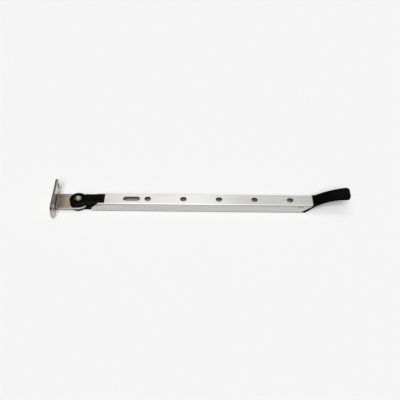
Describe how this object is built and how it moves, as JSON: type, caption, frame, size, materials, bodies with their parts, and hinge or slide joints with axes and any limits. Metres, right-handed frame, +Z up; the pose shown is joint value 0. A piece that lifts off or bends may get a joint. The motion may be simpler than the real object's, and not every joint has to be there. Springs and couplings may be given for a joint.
{
  "type": "casement window stay",
  "caption": "Peg-type casement window stay: a folded metal bar with a slot and peg holes, hinged on a screw-on bracket, with a curved black finger grip.",
  "frame": {"origin": "back face of the bracket's plate, midway between the two screw holes", "axes": "+X along the bar towards the grip when the stay is straight, +Z up along the hinge axis, with the closed top of the bar upwards"},
  "size_m": [0.2945, 0.0454, 0.0216],
  "materials": {
    "bracket_metal": "smooth rolled stainless steel",
    "black_plastic": "moulded, satin",
    "rivet_metal": "plain headed steel",
    "washer_metal": "plain steel",
    "bar_metal": "fine satin, lengthways grain",
    "grip_plastic": "moulded, satin"
  },
  "bodies": {
    "bracket": {"mounting_bracket": "bracket_metal"},
    "stay_arm": {"pivot_head": "black_plastic", "pivot_rivet": "rivet_metal", "rivet_washer": "washer_metal", "channel_bar": "bar_metal", "handle_grip": "grip_plastic"}
  },
  "joints": [
    {"name": "arm_swing", "type": "hinge", "parent": "bracket", "child": "stay_arm", "pos_m": [0.0242, 0, -0.00685], "axis": [0, 0, 1], "range_deg": [-90, 90]}
  ]
}
